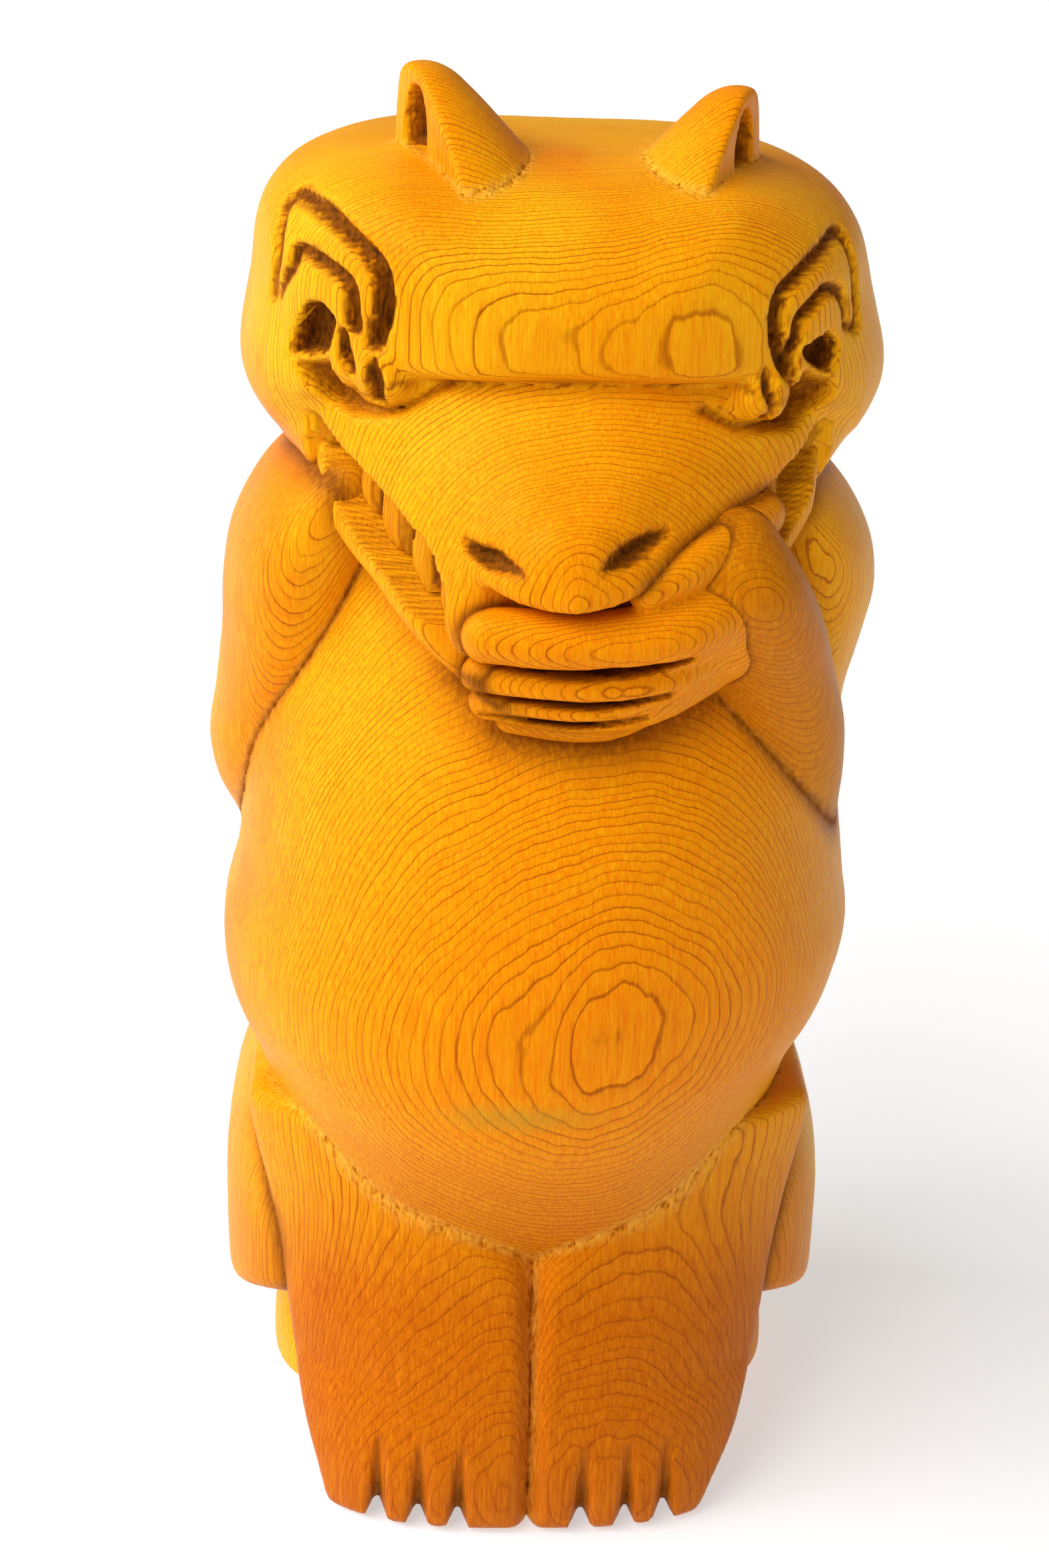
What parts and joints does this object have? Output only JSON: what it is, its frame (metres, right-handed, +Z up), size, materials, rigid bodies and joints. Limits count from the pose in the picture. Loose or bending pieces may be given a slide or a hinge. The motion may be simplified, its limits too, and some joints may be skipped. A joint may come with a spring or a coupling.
{
  "type": "carved wooden bear figure",
  "caption": "Free-standing bear figure carved from one block of wood, squatting upright with one paw across its mouth.",
  "frame": {"origin": "centre of the bounding box's footprint, at the base", "axes": "+Z up, the bear faces -Y, its own left side is +X"},
  "size_m": [0.0908, 0.0891, 0.2],
  "materials": {
    "carved_wood": "knife-cut yellow-orange softwood with fine growth rings, lightly oiled, satin"
  },
  "bodies": {
    "root": {"torso": "carved_wood", "head": "carved_wood", "lower_jaw": "carved_wood", "left_ear": "carved_wood", "right_ear": "carved_wood", "left_upper_arm": "carved_wood", "right_upper_arm": "carved_wood", "left_forearm": "carved_wood", "right_forearm": "carved_wood", "left_paw": "carved_wood", "left_haunch": "carved_wood", "right_haunch": "carved_wood", "left_leg": "carved_wood", "right_leg": "carved_wood"}
  },
  "joints": []
}
